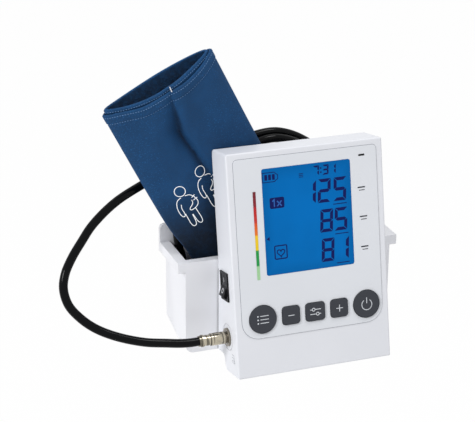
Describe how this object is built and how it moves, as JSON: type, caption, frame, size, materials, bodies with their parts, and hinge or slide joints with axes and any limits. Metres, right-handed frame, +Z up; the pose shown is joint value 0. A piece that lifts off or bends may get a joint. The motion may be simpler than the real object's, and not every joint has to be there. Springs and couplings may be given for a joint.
{
  "type": "wall-mounted blood pressure monitor",
  "caption": "Upright panel blood pressure monitor with a lit display, keys and a rocker switch, carried by an open wall basket that holds a rolled cuff and its looped air hose",
  "frame": {"origin": "centre of the four wall screw holes, on the back face of the basket", "axes": "+Y points into the wall, along the screws; +Z is up; +X is to the right as seen from the room"},
  "size_m": [0.2602, 0.0923, 0.2331],
  "materials": {
    "white_plastic": "fine satin moulded plastic, warm white",
    "panel_plastic": "smooth printed front panel, pale grey white",
    "display_blue": "bright blue lit display lens",
    "glass": "display cell",
    "diffuser": "milky light guide",
    "key_rubber": "dark grey silicone keys",
    "mat_rubber": "grey silicone mat",
    "black_plastic": "black moulded plastic",
    "strip_print": "printed scale from red to green",
    "board_green": "circuit board",
    "chip_black": "electronic parts",
    "nickel": "warm nickel plating, slightly worn",
    "steel": "zinc plated screws",
    "brass": "terminal blades",
    "hose_rubber": "black rubber hose, soft sheen",
    "cuff_cloth": "navy woven nylon",
    "lining_cloth": "navy woven nylon, inner turn",
    "clear_tube": "pale silicone air tube",
    "motor_steel": "motor can",
    "cell_wrap": "battery jackets, plain"
  },
  "bodies": {
    "monitor": {"wall_basket": "white_plastic", "front_shell": "white_plastic", "rear_cover": "white_plastic", "case_screws": "steel", "basket_screws": "steel", "front_panel": "panel_plastic", "display_lens": "display_blue", "display_glass": "glass", "backlight": "diffuser", "display_frame": "black_plastic", "scale_strip": "strip_print", "indicator_window": "black_plastic", "key_mat": "mat_rubber", "main_board": "board_green", "board_screws": "steel", "processor": "chip_black", "rocker_frame": "black_plastic", "rocker_terminals": "brass", "hose_socket": "nickel", "socket_nut": "nickel", "connector_body": "nickel", "connector_sleeve": "nickel", "air_hose": "hose_rubber", "cuff_port": "black_plastic", "cuff_outer_turn": "cuff_cloth", "cuff_inner_turn": "lining_cloth", "air_manifold": "diffuser", "inlet_tube": "clear_tube", "pump_tube": "clear_tube", "valve_tube": "clear_tube", "release_valve": "chip_black", "pressure_sensor": "chip_black", "pump_head": "black_plastic", "pump_motor": "motor_steel", "pump_cradle": "black_plastic", "buzzer": "chip_black", "power_inlet": "black_plastic", "inlet_pin": "steel", "battery_tray": "white_plastic", "battery_contacts": "steel", "battery_cell_1": "cell_wrap", "battery_cell_2": "cell_wrap", "battery_cell_3": "cell_wrap", "battery_cell_4": "cell_wrap", "battery_door": "white_plastic", "door_screw": "steel"},
    "mode_key_body": {"mode_key": "key_rubber"},
    "minus_key_body": {"minus_key": "key_rubber"},
    "set_key_body": {"set_key": "key_rubber"},
    "plus_key_body": {"plus_key": "key_rubber"},
    "start_key_body": {"start_key": "key_rubber"},
    "rocker_body": {"rocker": "black_plastic"},
    "collar_body": {"connector_collar": "nickel"},
    "shaft_body": {"pump_shaft": "steel"}
  },
  "joints": [
    {"name": "mode_key_press", "type": "slide", "parent": "monitor", "child": "mode_key_body", "axis": [0, 0.9816, -0.1908], "range_m": [0, 0.0008], "stiffness_N_per_m": 300, "springref_m": -0.0005},
    {"name": "minus_key_press", "type": "slide", "parent": "monitor", "child": "minus_key_body", "axis": [0, 0.9816, -0.1908], "range_m": [0, 0.0008], "stiffness_N_per_m": 300, "springref_m": -0.0005},
    {"name": "set_key_press", "type": "slide", "parent": "monitor", "child": "set_key_body", "axis": [0, 0.9816, -0.1908], "range_m": [0, 0.0008], "stiffness_N_per_m": 300, "springref_m": -0.0005},
    {"name": "plus_key_press", "type": "slide", "parent": "monitor", "child": "plus_key_body", "axis": [0, 0.9816, -0.1908], "range_m": [0, 0.0008], "stiffness_N_per_m": 300, "springref_m": -0.0005},
    {"name": "start_key_press", "type": "slide", "parent": "monitor", "child": "start_key_body", "axis": [0, 0.9816, -0.1908], "range_m": [0, 0.0008], "stiffness_N_per_m": 300, "springref_m": -0.0005},
    {"name": "rocker_tip", "type": "hinge", "parent": "monitor", "child": "rocker_body", "pos_m": [-0.053, -0.06278, 0.00666], "axis": [0, -0.9816, 0.1908], "range_deg": [0, 20]},
    {"name": "collar_slide", "type": "slide", "parent": "monitor", "child": "collar_body", "axis": [-1, 0, 0], "range_m": [0, 0.003], "stiffness_N_per_m": 250, "springref_m": -0.0005},
    {"name": "pump_spin", "type": "hinge", "parent": "monitor", "child": "shaft_body", "pos_m": [0.006, -0.06332, -0.02807], "axis": [1, 0, 0], "continuous": true}
  ]
}
